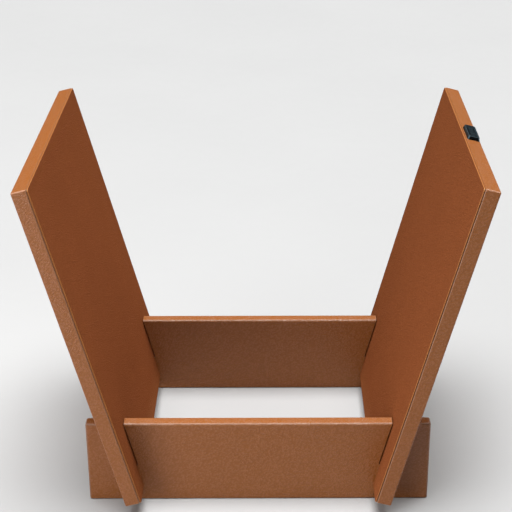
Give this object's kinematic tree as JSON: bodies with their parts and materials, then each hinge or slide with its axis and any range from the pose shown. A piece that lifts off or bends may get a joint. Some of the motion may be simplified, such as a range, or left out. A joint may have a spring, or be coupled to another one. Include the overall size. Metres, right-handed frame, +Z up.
{
  "type": "record storage stand",
  "caption": "V-shaped leatherette-covered stand for 12-inch records: leaning side panels slot down over cross rails and lift off.",
  "frame": {"origin": "on the floor, midway between the side panels and midway between the rails", "axes": "+X to the stand's right as seen from its front, +Y from its front to its rear, +Z up"},
  "size_m": [0.4404, 0.3, 0.3585],
  "materials": {
    "grained_leatherette": "tan, pebble grain, satin",
    "smooth_leatherette": "tan, fine grain, satin",
    "edge_leatherette": "tan, fine grain, pressed flat",
    "fibreboard": "raw, sawn",
    "greyboard": "raw, matte",
    "black_plastic": "moulded, satin",
    "adhesive_foam": "matte"
  },
  "bodies": {
    "rails": {"front_rail_core": "fibreboard", "front_rail_wrap": "grained_leatherette", "front_rail_slot_liners": "edge_leatherette", "front_rail_base_strip": "edge_leatherette", "rear_rail_core": "fibreboard", "rear_rail_wrap": "grained_leatherette", "rear_rail_slot_liners": "edge_leatherette", "rear_rail_base_strip": "edge_leatherette"},
    "left_panel": {"left_panel_core": "fibreboard", "left_panel_wrap": "grained_leatherette", "left_slot_liners": "edge_leatherette", "left_lining_card": "greyboard", "left_lining_cover": "smooth_leatherette"},
    "right_panel": {"right_panel_core": "fibreboard", "right_panel_wrap": "grained_leatherette", "right_slot_liners": "edge_leatherette", "right_lining_card": "greyboard", "right_lining_cover": "smooth_leatherette", "badge_pad": "adhesive_foam", "badge": "black_plastic"}
  },
  "joints": [
    {"name": "left_panel_lift", "type": "slide", "parent": "rails", "child": "left_panel", "axis": [-0.2504, 0, 0.9681], "range_m": [0, 0.08]},
    {"name": "right_panel_lift", "type": "slide", "parent": "rails", "child": "right_panel", "axis": [0.2504, 0, 0.9681], "range_m": [0, 0.08]}
  ]
}
